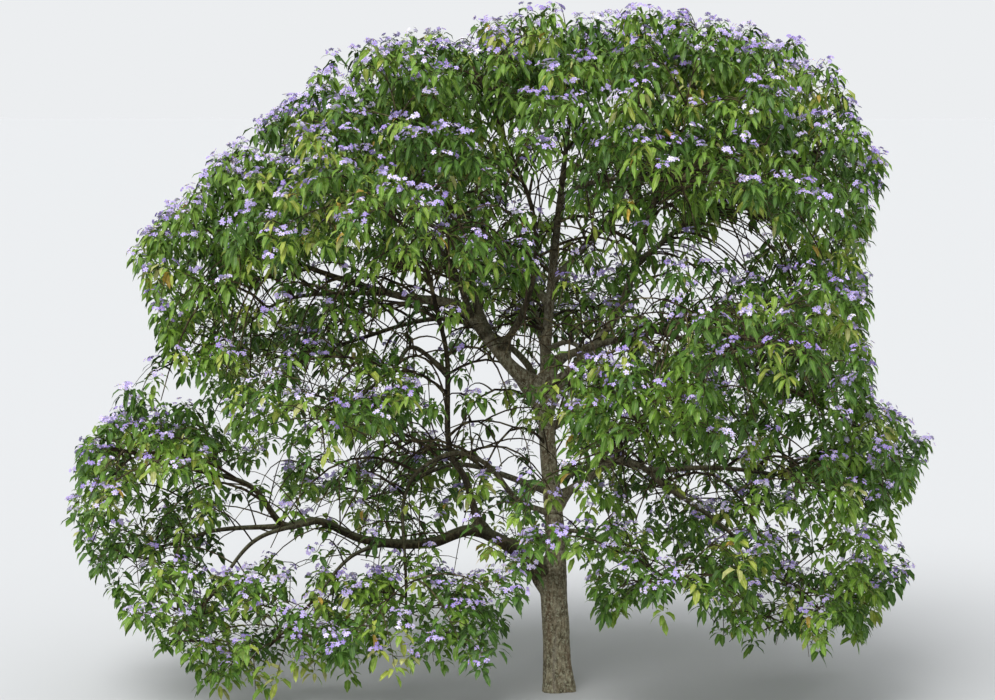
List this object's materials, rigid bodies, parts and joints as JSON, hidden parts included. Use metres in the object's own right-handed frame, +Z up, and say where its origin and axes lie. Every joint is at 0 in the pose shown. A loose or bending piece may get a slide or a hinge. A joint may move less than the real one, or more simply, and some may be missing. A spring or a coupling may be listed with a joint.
{
  "type": "flowering nightshade tree",
  "caption": "Wide, low-forking tree with a leaning mossy trunk, curved boughs and domed masses of drooping leaves under lilac flowers.",
  "frame": {"origin": "centre of the flat cut under the trunk, at ground level", "axes": "+Z up, +X to the viewer's right, +Y away from the viewer"},
  "size_m": [8.6287, 7.3565, 6.6321],
  "materials": {
    "trunk_bark": "grey-brown fissured bark with grey-green lichen and moss",
    "bough_bark": "darker brown bark, mossy on its upper side",
    "foliage": "soft, slightly glossy dark green leaves on thin twigs",
    "blossom": "thin matt lilac petals with a pale eye"
  },
  "bodies": {
    "root": {"arching_bough": "bough_bark", "arching_foliage": "foliage", "back_left_bough": "bough_bark", "back_left_foliage": "foliage", "back_left_high_bough": "bough_bark", "back_left_high_foliage": "foliage", "back_low_left_bough": "bough_bark", "back_low_left_foliage": "foliage", "back_low_right_bough": "bough_bark", "back_low_right_foliage": "foliage", "back_middle_bough": "bough_bark", "back_middle_foliage": "foliage", "back_right_bough": "bough_bark", "back_right_foliage": "foliage", "back_right_high_bough": "bough_bark", "back_right_high_foliage": "foliage", "crown_left_bough": "bough_bark", "crown_left_foliage": "foliage", "drooping_left_bough": "bough_bark", "drooping_left_foliage": "foliage", "front_crown_bough": "bough_bark", "front_crown_foliage": "foliage", "front_left_bough": "bough_bark", "front_left_foliage": "foliage", "front_left_high_bough": "bough_bark", "front_left_high_foliage": "foliage", "front_low_right_bough": "bough_bark", "front_low_right_foliage": "foliage", "front_middle_bough": "bough_bark", "front_middle_foliage": "foliage", "front_right_bough": "bough_bark", "front_right_foliage": "foliage", "great_left_bough": "bough_bark", "great_left_foliage": "foliage", "great_right_bough": "bough_bark", "great_right_foliage": "foliage", "hanging_left_bough": "bough_bark", "hanging_left_foliage": "foliage", "left_tier_bough": "bough_bark", "left_tier_foliage": "foliage", "low_left_bough": "bough_bark", "low_left_foliage": "foliage", "low_right_bough": "bough_bark", "low_right_foliage": "foliage", "outer_left_bough": "bough_bark", "outer_left_foliage": "foliage", "outer_right_bough": "bough_bark", "outer_right_foliage": "foliage", "right_drooping_bough": "bough_bark", "right_drooping_foliage": "foliage", "right_tier_bough": "bough_bark", "right_tier_foliage": "foliage", "rising_left_bough": "bough_bark", "rising_left_foliage": "foliage", "trunk": "trunk_bark", "trunk_foliage": "foliage", "upper_left_bough": "bough_bark", "upper_left_foliage": "foliage", "upper_right_bough": "bough_bark", "upper_right_foliage": "foliage"}
  },
  "joints": []
}
